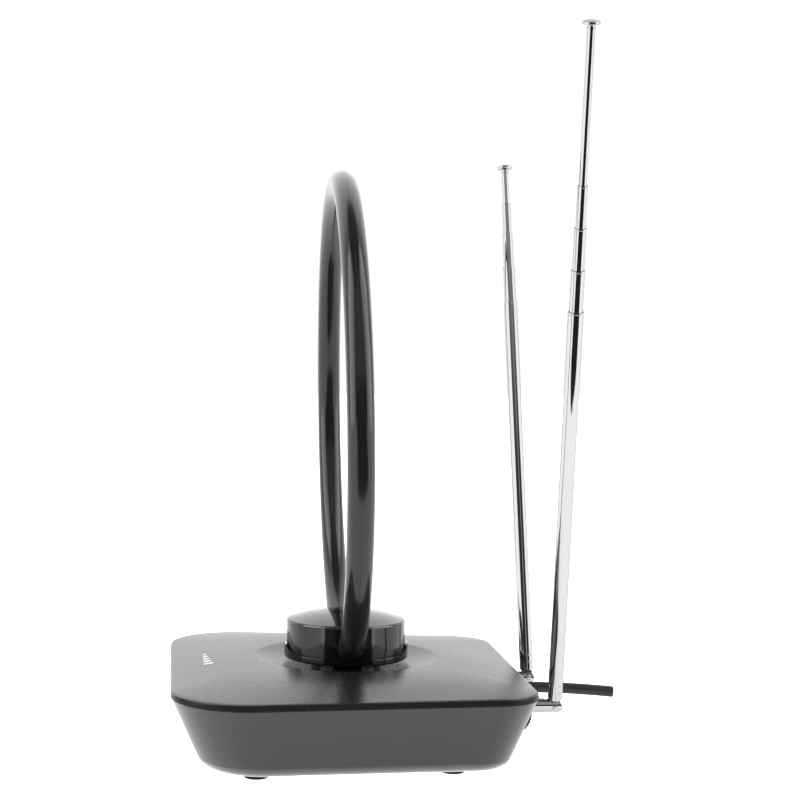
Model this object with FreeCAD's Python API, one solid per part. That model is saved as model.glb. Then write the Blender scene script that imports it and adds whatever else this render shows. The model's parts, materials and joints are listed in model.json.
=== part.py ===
"""Rabbit ears antenna: a tray base with a crowned cover, a turning loop and two telescopic rods.

Millimetres. The origin is on the loop's turning axis, at the plane the feet rest on. +Z is up,
-Y is the front, and +X is the right-hand side seen from the front.
"""
import FreeCAD, Part
import math
import os

from FreeCAD import Placement, Rotation, Vector

X_AXIS = Vector(1, 0, 0)
Y_AXIS = Vector(0, 1, 0)
Z_AXIS = Vector(0, 0, 1)
ORIGIN = Vector(0, 0, 0)

# Base outline, at the widest level
FRONT_Y = -81.5
REAR_Y = 77.7
MID_HALF_WIDTH = 86.8          # half width where Y is 0
SIDE_TAPER = math.tan(math.radians(6.4))
FRONT_CORNER = 33.0
REAR_CORNER = 20.0

# Tray
FOOT_STAND = 2.4
FLOOR_Z = FOOT_STAND
FLOOR_THICK = 2.4
RIM_Z = 33.7
TRAY_WALL = 2.2
RIM_INSET = 0.4                # the rim stands this far inside the cover's edge
FRONT_SLOPE = math.tan(math.radians(23))
REAR_SLOPE = math.tan(math.radians(21))
SIDE_SLOPE = math.tan(math.radians(24))
FLOOR_FILLET = 8.0

# Cover
EDGE_THICK = 2.8
EDGE_TOP_Z = RIM_Z + EDGE_THICK
CROWN_RISE = 4.8
EDGE_EASE = 1.0                # the crown starts this far in from the widest edge
CROWN_REACH = 34.0             # the crown levels out this far in from the edge
COVER_THICK = 2.4
DISH_LIP_R = 41.9
DISH_FLOOR_Z = 36.6            # seat of the bush's flange
SEAT_R = 16.2
BOWL_LOW_Z = 37.5              # the bowl's lowest level, round the seat
BOWL_SAG = 0.65                # the bowl lies this much below a straight cone
DISH_BOSS_R = 45.0

# Hub
SPINDLE_R = 10.0
SPINDLE_BORE_R = 6.0
SPINDLE_BOTTOM_Z = 27.5
RUNNING = 0.05
BUSH_R = 12.0
BUSH_FLANGE_R = 15.0
BUSH_FLANGE_THICK = 0.9
NECK_R = 16.0
NECK_BOTTOM_Z = DISH_FLOOR_Z + BUSH_FLANGE_THICK + 0.1
COLLAR_R = 28.6
COLLAR_WALL = 1.1
COLLAR_BOTTOM_Z = 40.8
COLLAR_FLOOR_Z = 43.2
COLLAR_TOP_Z = 50.0
COLLAR_DIP_Z = 43.4            # top edge of most of its wall
COLLAR_SWEEP_R = 6.5           # curve up to the two high places, at the front and the rear
DRUM_R = 27.4
DRUM_WALL = 2.0
DRUM_SHOULDER_Z = 57.6
DRUM_RIM_Z = 58.7
DOME_TOP_Z = 62.8
HUB_SCREW_Y = 19.0
SOCKET_R = 7.0                 # short socket round each end of the loop
SOCKET_REACH = 29.7
SOCKET_TOP_Z = 48.8

# Loop
LOOP_RADIUS = 108.0
LOOP_CENTRE_Z = 152.5
LOOP_TUBE_R = 5.75
LOOP_TUBE_BORE = 3.7
LOOP_END_X = 23.0              # the loop's ends stop this far from the hub's axis
SEAM_DEPTH = 0.2
LOOP_TURN = -1.45              # the hub as it stands, turned a little from square
LOOP_LEAN = 0.62               # the loop leans forward in its sockets

# Telescopic rods
PIVOT_X = 32.3
PIVOT_Y = 90.5
PIVOT_Z = 24.6
RIGHT_LEAN = 17.0
LEFT_LEAN = -9.6
ROD_TIP_FORWARD = 0.7          # both rods stand a little forward of upright
BASE_TUBE_START = 4.0          # up from the pin; the tongue shows below it
BASE_TUBE_END = 184.0
TUBE_WALL = 0.3
SECTION_RADII = [3.25, 2.85, 2.45, 2.05, 1.6]
SECTION_LENGTHS = [168.0, 166.0, 164.0, 162.0]
RIGHT_EXPOSED = [18.0, 18.0, 18.0, 64.0]
LEFT_EXPOSED = [17.8, 17.0, 15.6, 15.8]
LIP_HEIGHT = 0.9
LIP_PROUD = 0.15
BUTTON_R = 3.6
SHAFT_R = 2.5                  # swivel shaft in its bush
SHAFT_END_Y = 56.0
STUB_R = 3.3
STUB_START_Y = 75.1
STUB_STEP_Y = 85.6
KNUCKLE_R = 3.0
TONGUE_THICK = 2.0
FORK_SLOT = 2.2
PIN_BORE_R = 1.25

# Gain wheel in the rear wall
WHEEL_X = 52.0
WHEEL_R = 9.0
WHEEL_WIDTH = 3.6
WHEEL_PROUD = 2.6
WHEEL_WALL_Z = 23.0
POTENTIOMETER_R = 3.8

# Fixings
CASE_SCREW_PLACES = [(50, -52), (-50, -52), (54, 24), (-54, 24)]
FEET_PLACES = [(63, -44.6), (-63, -44.6), (53.4, 41.4), (-53.4, 41.4)]
FOOT_R = 5.4
CASE_SPLIT_Z = 24.0            # tray posts meet the cover's posts here
CASE_HEAD_R = 3.0
CASE_SHANK_R = 1.25
BOARD_X = (-42.0, 59.0)
BOARD_Y = (31.0, 58.0)
BOARD_Z = 10.0
BOARD_THICK = 1.6
BOARD_SCREWS = [(-38, 35), (-38, 54), (44, 35), (44, 53)]
CABLE_R = 2.5
CABLE_Z = 26.6
CABLE_END = (124.0, 24.2)      # Y and Z of the cut end


def save(name, *solids):
    """Writes one node, of one solid or of several separate ones."""
    shape = solids[0] if len(solids) == 1 else Part.makeCompound(list(solids))
    shape.exportStep("parts/" + name + ".step")


def cylinder(radius, start, end):
    """A round bar from one point to another."""
    span = end - start
    return Part.makeCylinder(radius, span.Length, start, span)


def ring(inner, outer, start, end):
    """A round tube from one point to another."""
    return cylinder(outer, start, end).cut(cylinder(inner, start, end))


def box(low, high):
    """A box from its lowest to its highest corner."""
    size = Vector(*high) - Vector(*low)
    return Part.makeBox(size.x, size.y, size.z, Vector(*low))


def fused(shapes):
    """Joins shapes into one solid and removes the seams between flush faces."""
    whole = shapes[0]
    for shape in shapes[1:]:
        whole = whole.fuse(shape)
    return whole.removeSplitter()


def wire_run(radius, points):
    """A round wire through points, with a ball at each bend."""
    path = [Vector(*point) for point in points]
    pieces = [cylinder(radius, a, b) for a, b in zip(path, path[1:])]
    pieces += [Part.makeSphere(radius, bend) for bend in path[1:-1]]
    return fused(pieces)


def rounded_polygon(corners, radii, z):
    """A closed level wire through corners, with an arc of its own radius at each."""
    count = len(corners)
    arcs = []
    for index in range(count):
        corner = Vector(*corners[index], z)
        before = Vector(*corners[index - 1], z) - corner
        after = Vector(*corners[(index + 1) % count], z) - corner
        before.normalize()
        after.normalize()
        half_angle = before.getAngle(after) / 2
        inward = before + after
        inward.normalize()
        tangent = radii[index] / math.tan(half_angle)
        middle = corner + inward * (radii[index] / math.sin(half_angle) - radii[index])
        arcs.append((corner + before * tangent, middle, corner + after * tangent))
    edges = []
    for index in range(count):
        start, middle, end = arcs[index]
        edges.append(Part.Arc(start, middle, end).toShape())
        edges.append(Part.makeLine(end, arcs[(index + 1) % count][0]))
    return Part.Wire(edges)


def base_outline(z, front_in=0.0, rear_in=0.0, side_in=0.0):
    """The base's outline at level z, drawn in by its own amount at the front, rear and sides."""
    front = FRONT_Y + front_in
    rear = REAR_Y - rear_in
    front_half = MID_HALF_WIDTH - SIDE_TAPER * front - side_in
    rear_half = MID_HALF_WIDTH - SIDE_TAPER * rear - side_in
    corners = [(-front_half, front), (front_half, front), (rear_half, rear), (-rear_half, rear)]
    front_radius = max(FRONT_CORNER - 0.45 * front_in, 12.0)
    rear_radius = max(REAR_CORNER - 0.30 * rear_in, 9.0)
    return rounded_polygon(corners, [front_radius, front_radius, rear_radius, rear_radius], z)


def even_outline(z, inset):
    return base_outline(z, inset, inset, inset)


def tray_body(top_z, bottom_z, extra, fillet):
    """The tray's sloping form between two levels, drawn in by extra, with a rounded floor edge."""
    def outline(z):
        drop = RIM_Z - z
        return base_outline(z, RIM_INSET + extra + drop * FRONT_SLOPE,
                            RIM_INSET + extra + drop * REAR_SLOPE,
                            RIM_INSET + extra + drop * SIDE_SLOPE)
    form = Part.makeLoft([outline(bottom_z), outline(top_z)], True, True)
    low_edges = [edge for edge in form.Edges if abs(edge.BoundBox.ZMax - bottom_z) < 0.01]
    return form.makeFillet(fillet, low_edges)


def rear_wall_y(z):
    """Y of the tray's outer rear face at level z."""
    return REAR_Y - RIM_INSET - (RIM_Z - z) * REAR_SLOPE


def wheel_axis():
    """Centre of the gain wheel: set back inside the sloping rear wall."""
    depth = WHEEL_R - WHEEL_PROUD
    slope = math.atan(REAR_SLOPE)
    return Vector(WHEEL_X, rear_wall_y(WHEEL_WALL_Z) - depth * math.cos(slope),
                  WHEEL_WALL_Z + depth * math.sin(slope))


def base_tray():
    tray = tray_body(RIM_Z, FLOOR_Z, 0.0, FLOOR_FILLET)
    tray = tray.cut(tray_body(RIM_Z + 1.0, FLOOR_Z + FLOOR_THICK, TRAY_WALL + 0.2, FLOOR_FILLET - 2))
    outer = tray_body(RIM_Z, FLOOR_Z, 0.0, FLOOR_FILLET)
    for x, y in CASE_SCREW_PLACES:
        tray = tray.fuse(cylinder(4.4, Vector(x, y, FLOOR_Z + 1), Vector(x, y, CASE_SPLIT_Z)))
    for x, y in BOARD_SCREWS:
        tray = tray.fuse(cylinder(2.6, Vector(x, y, FLOOR_Z + 1), Vector(x, y, BOARD_Z)))
    for side in (1, -1):
        block = box((side * PIVOT_X - 7, 62, 17), (side * PIVOT_X + 7, 78, 32))
        tray = tray.fuse(block.common(outer))
    tray = tray.fuse(box((-6, 66, 20), (6, 78, 33)).common(outer))
    for x, y in CASE_SCREW_PLACES:
        tray = tray.cut(cylinder(CASE_HEAD_R + 0.3, Vector(x, y, 0), Vector(x, y, 8)))
        tray = tray.cut(cylinder(CASE_SHANK_R + 0.3, Vector(x, y, 0), Vector(x, y, 40)))
    for x, y in BOARD_SCREWS:
        tray = tray.cut(cylinder(0.95, Vector(x, y, FLOOR_Z + FLOOR_THICK), Vector(x, y, 20)))
    for x, y in FEET_PLACES:
        tray = tray.cut(cylinder(FOOT_R + 0.1, Vector(x, y, 0), Vector(x, y, FLOOR_Z + 0.8)))
    for side in (1, -1):
        tray = tray.cut(cylinder(4.0, Vector(side * PIVOT_X, 50, PIVOT_Z), Vector(side * PIVOT_X, 90, PIVOT_Z)))
    tray = tray.cut(cylinder(4.0, Vector(0, 60, CABLE_Z), Vector(0, 90, CABLE_Z)))
    centre = wheel_axis()
    reach = WHEEL_WIDTH / 2 + 0.5
    tray = tray.cut(cylinder(WHEEL_R + 0.5, centre - X_AXIS * reach, centre + X_AXIS * reach))
    return tray.removeSplitter()


def crown_form(lower, extra):
    """The cover's crowned form, lowered and drawn in to make its own underside."""
    steps = [0.0, 0.12, 0.35, 0.65, 1.0]
    sections = []
    for step in steps:
        rise = CROWN_RISE * math.sin(step * math.pi / 2)
        sections.append(even_outline(EDGE_TOP_Z + rise - lower, EDGE_EASE + extra + CROWN_REACH * step))
    return Part.makeLoft(sections, True, False)


def dish_cut():
    """The shallow round bowl that the hub turns in, with a seat for the bush's flange at its middle."""
    lip = Vector(DISH_LIP_R, 0, EDGE_TOP_Z + CROWN_RISE)
    seat_edge = Vector(SEAT_R, 0, BOWL_LOW_Z)
    middle = (lip + seat_edge) * 0.5 - Z_AXIS * BOWL_SAG
    above = Vector(DISH_LIP_R, 0, lip.z + 3)
    edges = [Part.makeLine(Vector(0, 0, DISH_FLOOR_Z), Vector(SEAT_R, 0, DISH_FLOOR_Z)),
             Part.makeLine(Vector(SEAT_R, 0, DISH_FLOOR_Z), seat_edge),
             Part.Arc(seat_edge, middle, lip).toShape(),
             Part.makeLine(lip, above),
             Part.makeLine(above, Vector(0, 0, above.z)),
             Part.makeLine(Vector(0, 0, above.z), Vector(0, 0, DISH_FLOOR_Z))]
    return Part.Face(Part.Wire(edges)).revolve(ORIGIN, Z_AXIS, 360)


def top_cover():
    band = Part.makeLoft([even_outline(RIM_Z, 0.5), even_outline(RIM_Z + 0.5, 0.0),
                          even_outline(EDGE_TOP_Z - 0.6, 0.4), even_outline(EDGE_TOP_Z, EDGE_EASE)], True, True)
    cover = band.fuse(crown_form(0.0, 0.0))
    hollow = crown_form(COVER_THICK, TRAY_WALL + 1.2)
    mouth = Part.makeLoft([even_outline(RIM_Z - 1, TRAY_WALL + 2.0),
                           even_outline(EDGE_TOP_Z - COVER_THICK + 0.2, TRAY_WALL + 2.0)], True, True)
    cover = cover.cut(mouth).cut(hollow)
    cover = cover.fuse(cylinder(DISH_BOSS_R, Vector(0, 0, DISH_FLOOR_Z - COVER_THICK),
                                Vector(0, 0, EDGE_TOP_Z + CROWN_RISE - COVER_THICK / 2)))
    for x, y in CASE_SCREW_PLACES:
        cover = cover.fuse(cylinder(3.6, Vector(x, y, CASE_SPLIT_Z), Vector(x, y, EDGE_TOP_Z + 3.2)))
    for x, y in CASE_SCREW_PLACES:
        cover = cover.cut(cylinder(CASE_SHANK_R + RUNNING, Vector(x, y, 20), Vector(x, y, 34)))
    cover = cover.cut(dish_cut())
    cover = cover.cut(cylinder(BUSH_R + RUNNING, Vector(0, 0, 20), Vector(0, 0, 50)))
    return cover.removeSplitter()


def case_screws():
    screws = []
    for x, y in CASE_SCREW_PLACES:
        head = cylinder(CASE_HEAD_R, Vector(x, y, 6.0), Vector(x, y, 8.0))
        slot = box((x - 2, y - 0.4, 5.9), (x + 2, y + 0.4, 6.7))
        slot = slot.fuse(box((x - 0.4, y - 2, 5.9), (x + 0.4, y + 2, 6.7)))
        shank = cylinder(CASE_SHANK_R, Vector(x, y, 7.5), Vector(x, y, 33.0))
        screws.append(fused([head, shank]).cut(slot))
    return screws


def rubber_feet():
    feet = []
    for x, y in FEET_PLACES:
        foot = cylinder(FOOT_R, Vector(x, y, 0), Vector(x, y, FLOOR_Z + 0.7))
        low_edge = [edge for edge in foot.Edges if edge.BoundBox.ZMax < 0.01]
        feet.append(foot.makeFillet(0.6, low_edge))
    return feet


def circuit_board():
    board = box((BOARD_X[0], BOARD_Y[0], BOARD_Z), (BOARD_X[1], BOARD_Y[1], BOARD_Z + BOARD_THICK))
    for x, y in BOARD_SCREWS:
        board = board.cut(cylinder(1.2, Vector(x, y, BOARD_Z - 1), Vector(x, y, BOARD_Z + 3)))
    return board


def board_screws():
    screws = []
    top = BOARD_Z + BOARD_THICK
    for x, y in BOARD_SCREWS:
        head = cylinder(2.0, Vector(x, y, top), Vector(x, y, top + 1.4))
        shank = cylinder(0.9, Vector(x, y, BOARD_Z - 5), Vector(x, y, top + 0.5))
        screws.append(fused([head, shank]))
    return screws


def shield_can():
    """Tinplate box over the amplifier, open below and standing on the board."""
    top = BOARD_Z + BOARD_THICK
    can = box((8, 36, top), (32, 54, top + 6.5))
    return can.cut(box((8.4, 36.4, top - 1), (31.6, 53.6, top + 6.1)))


def balun_core():
    """Ferrite ring that matches the rods to the coaxial cable, lying on the board."""
    top = BOARD_Z + BOARD_THICK
    return ring(2.6, 5.5, Vector(-22, 44, top), Vector(-22, 44, top + 4.5))


def balun_winding():
    """Wire wound through the ferrite ring: a row of turns that just clear its faces."""
    top = BOARD_Z + BOARD_THICK
    turns = []
    for angle in range(20, 360, 40):
        turn = box((1.9, -0.35, -0.01), (6.2, 0.35, 5.3)).cut(box((2.5, -1, -1), (5.6, 1, 4.6)))
        turn.Placement = Placement(Vector(-22, 44, top), Rotation(Z_AXIS, angle))
        turns.append(turn)
    return turns


def gain_wheel():
    """Knurled thumb wheel on a cross shaft, its rim standing out of the rear wall's slot."""
    centre = wheel_axis()
    half = X_AXIS * (WHEEL_WIDTH / 2)
    wheel = cylinder(WHEEL_R, centre - half, centre + half)
    groove = Part.makeCylinder(0.35, WHEEL_WIDTH + 1, Vector(-WHEEL_WIDTH / 2 - 0.5, WHEEL_R + 0.1, 0), X_AXIS)
    grooves = []
    for index in range(36):
        cutter = groove.copy()
        cutter.Placement = Placement(centre, Rotation(X_AXIS, index * 10))
        grooves.append(cutter)
    wheel = wheel.cut(Part.makeCompound(grooves))
    return wheel.fuse(cylinder(1.5, centre, centre + X_AXIS * 6.6))


def gain_potentiometer():
    centre = wheel_axis()
    start = centre + X_AXIS * 2.4
    end = centre + X_AXIS * 7.0
    body = cylinder(POTENTIOMETER_R, start, end)
    leg = box((start.x, 54.6, BOARD_Z + BOARD_THICK), (end.x, 57.6, centre.z + 2))
    arm = box((start.x, 57.0, centre.z - 2), (end.x, centre.y, centre.z + 2))
    return fused([body, leg, arm]).cut(cylinder(1.5 + RUNNING, start, end - X_AXIS * 0.2))


def coax_cable():
    """Round cable that rises from the board, runs level through the wall and droops to its cut end."""
    places = [(50, 15.2), (54, 20.6), (60, 25.4), (66, CABLE_Z), (77, CABLE_Z), (96, CABLE_Z - 0.5), CABLE_END]
    points = [Vector(0, y, z) for y, z in places]
    curve = Part.BSplineCurve()
    curve.interpolate(points)
    path = Part.Wire(curve.toShape())
    start_direction = curve.tangent(curve.FirstParameter)[0]
    profile = Part.Wire(Part.makeCircle(CABLE_R, points[0], start_direction))
    return path.makePipeShell([profile], True, False)


def cable_grommet():
    """Moulded strain relief in the rear wall, drawn a little thinner outside."""
    inside = ring(CABLE_R + 0.3, 5.4, Vector(0, 63.4, CABLE_Z), Vector(0, 65.8, CABLE_Z))
    sleeve = ring(CABLE_R + 0.3, 3.9, Vector(0, 65.5, CABLE_Z), Vector(0, 77.5, CABLE_Z))
    return fused([inside, sleeve])


def rod_bushes():
    bushes = []
    for side in (1, -1):
        x = side * PIVOT_X
        sleeve = ring(SHAFT_R + RUNNING, 3.95, Vector(x, 61, PIVOT_Z), Vector(x, 75, PIVOT_Z))
        flange = ring(SHAFT_R + RUNNING, 5.2, Vector(x, 60.9, PIVOT_Z), Vector(x, 61.9, PIVOT_Z))
        bushes.append(fused([sleeve, flange]))
    return bushes


def solder_lugs():
    """Ring lugs on the swivel shafts, with a tail that the lead is soldered to."""
    lugs = []
    for side in (1, -1):
        x = side * PIVOT_X
        eye = cylinder(4.6, Vector(x, 60.4, PIVOT_Z), Vector(x, 60.85, PIVOT_Z))
        tail = box((x - 1.2, 60.4, PIVOT_Z - 9), (x + 1.2, 60.85, PIVOT_Z))
        hole = cylinder(SHAFT_R + 0.1, Vector(x, 60, PIVOT_Z), Vector(x, 61, PIVOT_Z))
        lugs.append(fused([eye, tail]).cut(hole))
    return lugs


def swivel_washers():
    """Spring washers that give the swivels their drag."""
    washers = []
    for side in (1, -1):
        x = side * PIVOT_X
        washers.append(ring(SHAFT_R + 0.1, 4.4, Vector(x, 58.8, PIVOT_Z), Vector(x, 60.3, PIVOT_Z)))
    return washers


def rod_lead_wires():
    wires = []
    for side in (1, -1):
        x = side * PIVOT_X
        tail_z = PIVOT_Z - 8
        wires.append(wire_run(0.6, [(x, 59.75, tail_z), (x * 0.82, 57.2, tail_z - 1),
                                    (x * 0.70, 56.8, BOARD_Z + BOARD_THICK + 0.7)]))
    return wires


def hub_bush():
    sleeve = ring(SPINDLE_R + RUNNING, BUSH_R, Vector(0, 0, 33), Vector(0, 0, DISH_FLOOR_Z))
    top = Vector(0, 0, DISH_FLOOR_Z + BUSH_FLANGE_THICK)
    flange = ring(SPINDLE_R + RUNNING, BUSH_FLANGE_R, Vector(0, 0, DISH_FLOOR_Z), top)
    return fused([sleeve, flange])


def place_loop(shape):
    """Leans a piece drawn in the square X-Z plane forward in its sockets, as the loop stands."""
    placed = shape.copy()
    placed.rotate(Vector(0, 0, COLLAR_FLOOR_Z), X_AXIS, LOOP_LEAN)
    return placed


def turn_hub(shape):
    """Turns a piece of the hub about its axis to where the hub stands."""
    placed = shape.copy()
    placed.rotate(ORIGIN, Z_AXIS, LOOP_TURN)
    return placed


def loop_tube(radius):
    """A solid round bar along the loop, between its two ends in the hub."""
    gap = math.degrees(math.asin(LOOP_END_X / LOOP_RADIUS))
    centre = Vector(0, 0, LOOP_CENTRE_Z)
    face = Part.Face(Part.Wire(Part.makeCircle(radius, centre + X_AXIS * LOOP_RADIUS, Z_AXIS)))
    face.rotate(centre, Y_AXIS, 90 + gap)
    return place_loop(face.revolve(centre, Y_AXIS, 360 - 2 * gap))


def loop_shell(side):
    """Half of the loop's casing, split on the loop's own plane. side is -1 for the front half."""
    gap = math.degrees(math.asin(LOOP_END_X / LOOP_RADIUS))
    centre = Vector(0, 0, LOOP_CENTRE_Z)
    section = centre + X_AXIS * LOOP_RADIUS
    seam = math.asin(SEAM_DEPTH / LOOP_TUBE_R)

    def at(radius, angle):
        return section + Vector(radius * math.cos(angle), side * radius * math.sin(angle), 0)

    outer = [at(LOOP_TUBE_R, seam), at(LOOP_TUBE_R, math.pi / 2), at(LOOP_TUBE_R, math.pi - seam)]
    inner = [at(LOOP_TUBE_BORE, math.pi), at(LOOP_TUBE_BORE, math.pi / 2), at(LOOP_TUBE_BORE, 0)]
    outer_split = [at(LOOP_TUBE_R - SEAM_DEPTH, 0), at(LOOP_TUBE_R - SEAM_DEPTH, math.pi)]
    edges = [Part.makeLine(outer_split[0], outer[0]),
             Part.Arc(*outer).toShape(),
             Part.makeLine(outer[2], outer_split[1]),
             Part.makeLine(outer_split[1], inner[0]),
             Part.Arc(*inner).toShape(),
             Part.makeLine(inner[2], outer_split[0])]
    face = Part.Face(Part.Wire(edges))
    face.rotate(centre, Y_AXIS, 90 + gap)
    return place_loop(face.revolve(centre, Y_AXIS, 360 - 2 * gap))


def loop_conductor():
    return loop_tube(3.6).cut(loop_tube(2.9))


def hub_profile(points):
    """Turns a closed profile of (radius, z) points about the hub's axis."""
    wire = Part.makePolygon([Vector(r, 0, z) for r, z in points + points[:1]])
    return Part.Face(wire).revolve(ORIGIN, Z_AXIS, 360)


def hub_collar(mouths):
    """Turned saucer under the drum, its wall swept up at the front and the rear."""
    inner = COLLAR_R - COLLAR_WALL
    collar = hub_profile([(SPINDLE_R + 0.1, NECK_BOTTOM_Z), (NECK_R, NECK_BOTTOM_Z), (NECK_R, 39.4),
                          (NECK_R + 2.0, COLLAR_BOTTOM_Z), (COLLAR_R - 1.0, COLLAR_BOTTOM_Z),
                          (COLLAR_R - 0.3, 41.1), (COLLAR_R, 41.8), (COLLAR_R, COLLAR_TOP_Z),
                          (inner, COLLAR_TOP_Z), (inner, COLLAR_FLOOR_Z), (SPINDLE_R + 0.1, COLLAR_FLOOR_Z)])
    reach = COLLAR_R + 0.2
    sweep = box((-50, -reach, COLLAR_DIP_Z), (50, reach, 70))
    lower_edges = [edge for edge in sweep.Edges if edge.BoundBox.XLength > 90 and edge.BoundBox.ZMax < 50]
    collar = collar.cut(sweep.makeFillet(COLLAR_SWEEP_R, lower_edges))
    drum = cylinder(DRUM_R + RUNNING, Vector(0, 0, 30), Vector(0, 0, 70))
    entry_z = LOOP_CENTRE_Z - math.sqrt(LOOP_RADIUS ** 2 - DRUM_R ** 2)
    for side in (1, -1):
        socket = cylinder(SOCKET_R, Vector(0, 0, entry_z), Vector(side * SOCKET_REACH, 0, entry_z + 0.6))
        socket = socket.common(box((-40, -10, COLLAR_BOTTOM_Z + 0.4), (40, 10, SOCKET_TOP_Z))).cut(drum)
        collar = collar.fuse(socket)
    for side in (1, -1):
        y = side * HUB_SCREW_Y
        collar = collar.cut(cylinder(2.6, Vector(0, y, 38), Vector(0, y, 42.3)))
        collar = collar.cut(cylinder(1.3, Vector(0, y, 38), Vector(0, y, 46)))
    return collar.cut(mouths).removeSplitter()


def dome_face(radius, shoulder_z, rim_z, top_z, round_in):
    """Half section of a domed drum down to the collar's floor."""
    shoulder = Vector(radius, 0, shoulder_z)
    rim = Vector(radius - round_in, 0, rim_z)
    round_mid = Vector(radius - round_in * 0.28, 0, rim_z - (rim_z - shoulder_z) * 0.30)
    top = Vector(0, 0, top_z)
    sagitta = top_z - rim_z
    dome_curve = (rim.x * rim.x + sagitta * sagitta) / (2 * sagitta)
    mid_x = rim.x / 2
    dome_mid = Vector(mid_x, 0, top_z - dome_curve + math.sqrt(dome_curve ** 2 - mid_x ** 2))
    low = Vector(radius, 0, COLLAR_FLOOR_Z + 0.05)
    axis_low = Vector(0, 0, low.z)
    edges = [Part.makeLine(axis_low, low), Part.makeLine(low, shoulder),
             Part.Arc(shoulder, round_mid, rim).toShape(),
             Part.Arc(rim, dome_mid, top).toShape(), Part.makeLine(top, axis_low)]
    return Part.Face(Part.Wire(edges))


def hub_cap(mouths):
    """Drum with a shallow dome, hollow below, with two screw bosses."""
    outer = dome_face(DRUM_R, DRUM_SHOULDER_Z, DRUM_RIM_Z, DOME_TOP_Z, 1.6).revolve(ORIGIN, Z_AXIS, 360)
    inner_face = dome_face(DRUM_R - DRUM_WALL, DRUM_SHOULDER_Z - 1.6, DRUM_RIM_Z - DRUM_WALL,
                           DOME_TOP_Z - DRUM_WALL, 1.6)
    inner = inner_face.revolve(ORIGIN, Z_AXIS, 360)
    inner = inner.fuse(cylinder(DRUM_R - DRUM_WALL, Vector(0, 0, 40), Vector(0, 0, COLLAR_FLOOR_Z + 1)))
    cap = outer.cut(inner)
    for side in (1, -1):
        y = side * HUB_SCREW_Y
        cap = cap.fuse(cylinder(2.8, Vector(0, y, COLLAR_FLOOR_Z + 0.05), Vector(0, y, DRUM_RIM_Z)))
    for side in (1, -1):
        y = side * HUB_SCREW_Y
        cap = cap.cut(cylinder(1.15, Vector(0, y, 40), Vector(0, y, 53)))
    return cap.cut(mouths).removeSplitter()


def hub_spindle():
    """Hollow spindle hung from the collar's floor, grooved for its clip."""
    flange_z = COLLAR_FLOOR_Z + 0.05
    spindle = cylinder(SPINDLE_R, Vector(0, 0, SPINDLE_BOTTOM_Z), Vector(0, 0, flange_z))
    spindle = spindle.fuse(cylinder(15, Vector(0, 0, flange_z), Vector(0, 0, flange_z + 1.8)))
    spindle = spindle.cut(cylinder(SPINDLE_BORE_R, Vector(0, 0, 20), Vector(0, 0, 60)))
    groove = ring(9.25, 12, Vector(0, 0, 30.5), Vector(0, 0, 31.9))
    return spindle.cut(groove).removeSplitter()


def hub_clip():
    """Open retaining ring in the spindle's groove."""
    clip = ring(9.3, 14.0, Vector(0, 0, 30.6), Vector(0, 0, 31.8))
    return clip.cut(box((-3, 0, 30), (3, 16, 33)))


def hub_screws():
    screws = []
    for side in (1, -1):
        y = side * HUB_SCREW_Y
        head = cylinder(2.4, Vector(0, y, 40.9), Vector(0, y, 42.2))
        shank = cylinder(1.1, Vector(0, y, 41.5), Vector(0, y, 52))
        slot = box((-1.8, y - 0.35, 40.8), (1.8, y + 0.35, 41.5))
        screws.append(fused([head, shank]).cut(slot))
    return screws


def loop_lead_wires():
    """Two leads from the loop's ends, down through the hollow spindle."""
    wires = []
    for side in (1, -1):
        wires.append(wire_run(0.7, [(side * 22.2, 0, 47.6), (side * 12, 0, 49.5), (side * 2.4, 0, 47.5),
                                    (side * 2.4, 0, 24.0)]))
    return wires


def board_lead_wires():
    """The lower half of the loop's leads, from the lead's plug to the board."""
    wires = []
    for x in (-2.4, 2.4):
        wires.append(wire_run(0.7, [(x, 0, 17.6), (x, 0, 13.5), (x, 33, 13.5), (x, 33, BOARD_Z + BOARD_THICK)]))
    return wires


def place_rod(shape, side, lean, forward):
    """Moves a piece from the rod's own upright frame, with its pin at the origin, to its place."""
    placed = shape.copy()
    turn = Rotation(Y_AXIS, lean).multiply(Rotation(X_AXIS, forward))
    placed.Placement = Placement(Vector(side * PIVOT_X, PIVOT_Y, PIVOT_Z), turn)
    return placed


def swivel_stub():
    """Shaft through the rear wall, stepped down to a round head that is slotted for the rod's tongue."""
    shaft_start = SHAFT_END_Y - PIVOT_Y
    collar_start = STUB_START_Y - PIVOT_Y
    step = STUB_STEP_Y - PIVOT_Y
    shaft = cylinder(SHAFT_R, Vector(0, shaft_start, 0), Vector(0, collar_start + 1, 0))
    collar = cylinder(STUB_R, Vector(0, collar_start, 0), Vector(0, step, 0))
    head = cylinder(KNUCKLE_R, Vector(0, step - 1, 0), Vector(0, KNUCKLE_R, 0))
    rounded = cylinder(KNUCKLE_R, Vector(-KNUCKLE_R, 0, 0), Vector(KNUCKLE_R, 0, 0))
    rounded = rounded.fuse(box((-KNUCKLE_R, step - 1, -KNUCKLE_R), (KNUCKLE_R, 0, KNUCKLE_R)))
    stub = fused([shaft, collar, head.common(rounded)])
    half = FORK_SLOT / 2
    stub = stub.cut(box((-half, -KNUCKLE_R - 0.4, -5), (half, 5, 5)))
    groove = ring(2.05, 4, Vector(0, 57.5 - PIVOT_Y, 0), Vector(0, 58.7 - PIVOT_Y, 0))
    return stub.cut(groove).cut(cylinder(PIN_BORE_R, Vector(-5, 0, 0), Vector(5, 0, 0)))


def swivel_clip():
    clip = ring(2.1, 4.3, Vector(0, 57.6 - PIVOT_Y, 0), Vector(0, 58.6 - PIVOT_Y, 0))
    return clip.cut(box((-1.4, 57 - PIVOT_Y, 0), (1.4, 59 - PIVOT_Y, 5)))


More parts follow.
